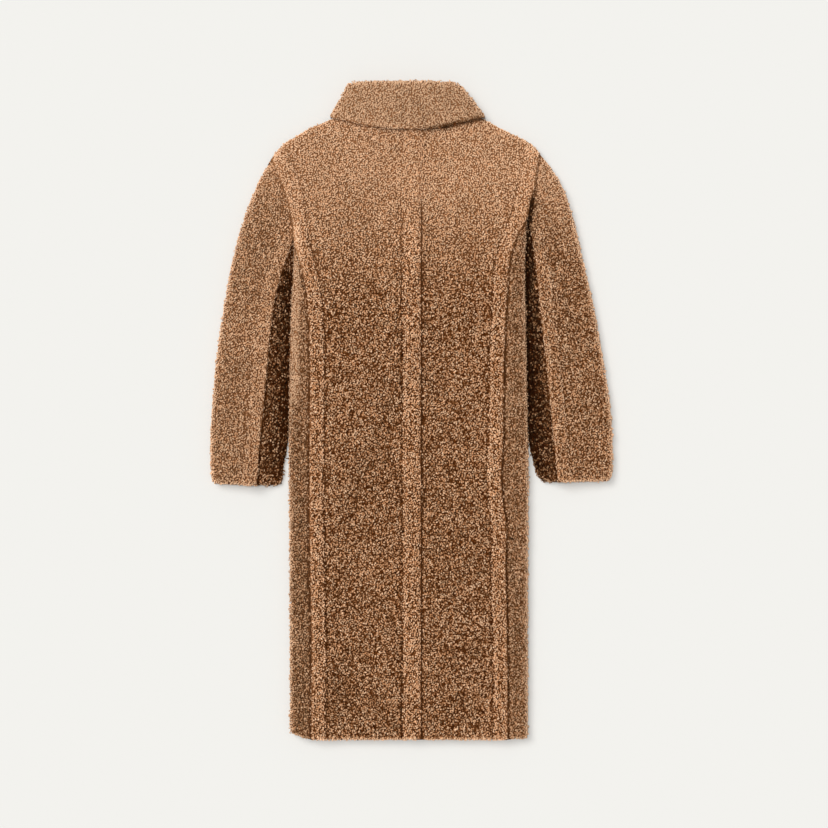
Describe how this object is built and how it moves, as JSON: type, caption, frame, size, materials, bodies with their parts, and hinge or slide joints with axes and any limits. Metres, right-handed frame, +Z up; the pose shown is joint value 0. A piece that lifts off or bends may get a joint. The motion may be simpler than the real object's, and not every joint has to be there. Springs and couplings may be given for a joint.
{
  "type": "teddy coat",
  "caption": "Long teddy coat with curly pile, laid flat with its back up: turned-down collar, raised seam bands, two-piece sleeves.",
  "frame": {"origin": "centre of the coat's outline, on the surface that it lies on", "axes": "+X to the right as one looks at the back, +Y from the hem to the collar, +Z up out of the surface"},
  "size_m": [0.7242, 1.1831, 0.0408],
  "materials": {
    "pile": "curly camel-brown pile, matt with a soft sheen"
  },
  "bodies": {
    "root": {"back_left": "pile", "back_right": "pile", "side_panel_left": "pile", "side_panel_right": "pile", "front_left": "pile", "front_right": "pile", "upper_sleeve_left": "pile", "upper_sleeve_right": "pile", "under_sleeve_left": "pile", "under_sleeve_right": "pile", "collar": "pile"}
  },
  "joints": []
}
